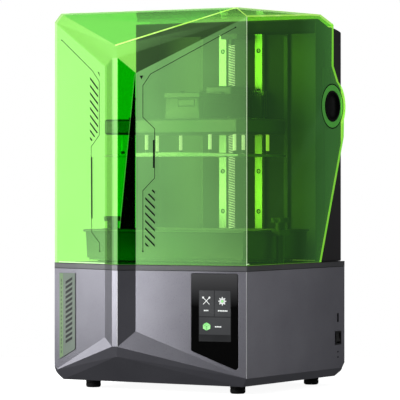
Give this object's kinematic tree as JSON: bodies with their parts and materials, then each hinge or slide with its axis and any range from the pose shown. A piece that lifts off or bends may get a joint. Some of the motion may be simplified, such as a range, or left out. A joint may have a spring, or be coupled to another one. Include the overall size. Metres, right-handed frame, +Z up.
{
  "type": "resin printer",
  "caption": "Desktop resin 3D printer: prow-fronted grey base with a touch screen, flip-up translucent green lid, and a build platform on a screw-driven arm above a tilting resin vat.",
  "frame": {"origin": "on the floor, under the centre of the bounding box", "axes": "+Z up, front faces -Y, +X to the right seen from the front"},
  "size_m": [0.3306, 0.3324, 0.548],
  "materials": {
    "case_grey": "satin light grey enamel with a metallic fleck",
    "rim_grey": "satin mid-dark grey enamel",
    "dark_plastic": "fine-grained black moulding",
    "black_rubber": "matt black rubber",
    "lid_green": "translucent lime-green acrylic, glossy",
    "black_glass": "black glass, polished",
    "label_grey": "printed label, satin",
    "board_green": "green circuit board laminate",
    "bright_steel": "ground steel",
    "satin_aluminium": "sand-blasted aluminium",
    "black_aluminium": "black anodised aluminium",
    "black_metal": "black painted steel",
    "clear_film": "clear polymer film",
    "white_plastic": "white acetal"
  },
  "bodies": {
    "base": {"base_housing": "case_grey", "top_deck": "rim_grey", "bottom_plate": "black_metal", "foot_front_left": "black_rubber", "foot_front_right": "black_rubber", "foot_rear_left": "black_rubber", "foot_rear_right": "black_rubber", "label_plate": "label_grey", "touch_screen": "black_glass", "display_board": "board_green", "mainboard": "board_green", "power_supply": "satin_aluminium", "power_inlet": "dark_plastic", "usb_bezel": "case_grey", "usb_port": "bright_steel", "led_board": "board_green", "led_heatsink": "satin_aluminium", "light_reflector": "bright_steel", "light_lens": "clear_film", "fan_frame": "dark_plastic", "tower_housing": "dark_plastic", "tower_panel": "dark_plastic", "z_backplate": "satin_aluminium", "rail_left": "bright_steel", "rail_right": "bright_steel", "screw_bearing_lower": "black_metal", "screw_bearing_upper": "black_metal", "z_motor": "black_metal", "tilt_motor": "black_metal", "tilt_bracket_left": "black_metal", "tilt_bracket_right": "black_metal", "hinge_hub_left": "dark_plastic", "hinge_hub_right": "dark_plastic", "hinge_washer_left": "dark_plastic", "hinge_washer_right": "dark_plastic", "switch_frame": "dark_plastic"},
    "lid": {"lid_shell": "lid_green"},
    "screw": {"ball_screw": "bright_steel", "shaft_coupling": "satin_aluminium"},
    "carriage": {"z_arm": "black_aluminium", "ball_nut": "bright_steel", "rail_block_left": "bright_steel", "rail_block_right": "bright_steel", "platform_mount": "satin_aluminium", "platform_body": "satin_aluminium", "print_plate": "bright_steel"},
    "release_button": {"platform_release_button": "dark_plastic"},
    "tray": {"tilt_tray": "satin_aluminium", "tilt_pin_left": "bright_steel", "tilt_pin_right": "bright_steel", "lcd_panel": "black_glass", "release_film": "clear_film", "film_clamp_ring": "black_aluminium", "vat_frame": "black_aluminium"},
    "cam": {"tilt_cam": "white_plastic"},
    "knob_left": {"vat_knob_left": "satin_aluminium"},
    "knob_right": {"vat_knob_right": "satin_aluminium"},
    "fan": {"fan_rotor": "dark_plastic"},
    "rocker": {"power_rocker": "dark_plastic"}
  },
  "joints": [
    {"name": "lid_hinge", "type": "hinge", "parent": "base", "child": "lid", "pos_m": [0, 0.1252, 0.4135], "axis": [-1, 0, 0], "range_deg": [0, 100]},
    {"name": "carriage_slide", "type": "slide", "parent": "base", "child": "carriage", "axis": [0, 0, 1], "range_m": [-0.15, 0.07]},
    {"name": "screw_turn", "type": "hinge", "parent": "base", "child": "screw", "pos_m": [0, 0.1092, 0.35], "axis": [0, 0, 1], "range_deg": [-10800, 5040]},
    {"name": "release_press", "type": "slide", "parent": "carriage", "child": "release_button", "axis": [0, 1, 0], "range_m": [0, 0.003], "stiffness_N_per_m": 500},
    {"name": "tray_tilt", "type": "hinge", "parent": "base", "child": "tray", "pos_m": [0, 0.0832, 0.1725], "axis": [1, 0, 0], "range_deg": [0, 2]},
    {"name": "cam_turn", "type": "hinge", "parent": "base", "child": "cam", "pos_m": [-0.12375, -0.0628, 0.15], "axis": [1, 0, 0], "range_deg": [0, 180]},
    {"name": "knob_left_turn", "type": "hinge", "parent": "tray", "child": "knob_left", "pos_m": [-0.145, 0.0037, 0.246], "axis": [0, 0, 1], "range_deg": [0, 720]},
    {"name": "knob_right_turn", "type": "hinge", "parent": "tray", "child": "knob_right", "pos_m": [0.145, 0.0037, 0.246], "axis": [0, 0, 1], "range_deg": [0, 720]},
    {"name": "fan_spin", "type": "hinge", "parent": "base", "child": "fan", "pos_m": [0.09, 0.1524, 0.09], "axis": [0, 1, 0], "continuous": true},
    {"name": "rocker_tip", "type": "hinge", "parent": "base", "child": "rocker", "pos_m": [0.159, 0.1432, 0.07], "axis": [0, 1, 0], "range_deg": [0, 16]}
  ],
  "couplings": [
    {"joint": "screw_turn", "follows": "carriage_slide", "rad_per_m": 1256.6},
    {"joint": "cam_turn", "follows": "tray_tilt", "ratio": 90}
  ]
}
